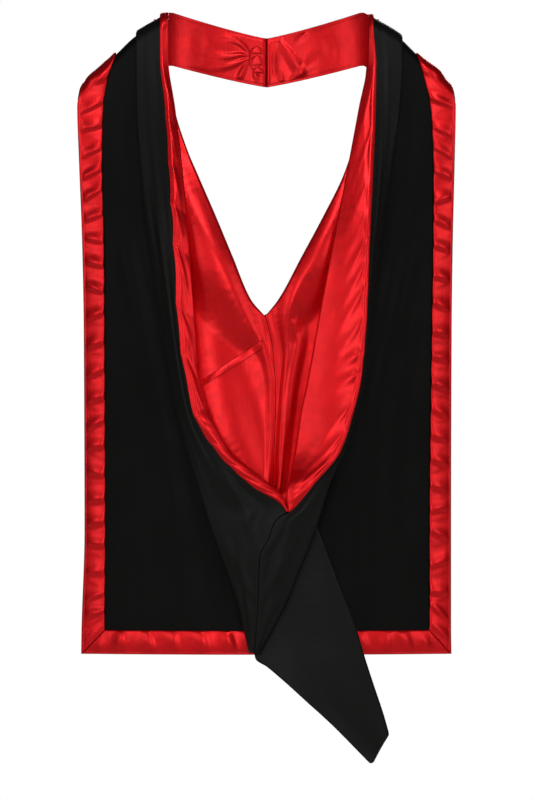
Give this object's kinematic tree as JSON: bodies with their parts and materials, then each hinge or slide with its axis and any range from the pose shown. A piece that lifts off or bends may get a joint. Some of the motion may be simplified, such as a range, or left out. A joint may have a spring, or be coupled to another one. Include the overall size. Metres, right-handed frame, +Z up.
{
  "type": "academic hood",
  "caption": "Academic hood with a bound black cape, a deep satin-lined cowl open at the back, a satin neckband fastened by a loop, and a wide squared tail.",
  "frame": {"origin": "middle of the neck opening, 33 mm below the highest point of the shoulders, where the neck and shoulders hold the hood", "axes": "+Z up, the back of the hood looks to -Y, +X to the right of someone who looks at the back"},
  "size_m": [0.4725, 0.2258, 0.9362],
  "materials": {
    "red_satin": "satin",
    "black_cloth": "matte"
  },
  "bodies": {
    "root": {"cape": "black_cloth", "binding_left": "red_satin", "binding_right": "red_satin", "binding_hem": "red_satin", "cowl_left": "black_cloth", "cowl_right": "black_cloth", "facing_left": "red_satin", "facing_right": "red_satin", "lining_left": "red_satin", "lining_right": "red_satin", "lining_tape": "red_satin", "neckband_left": "red_satin", "neckband_right": "red_satin", "band_loop": "red_satin", "tail": "black_cloth"}
  },
  "joints": []
}
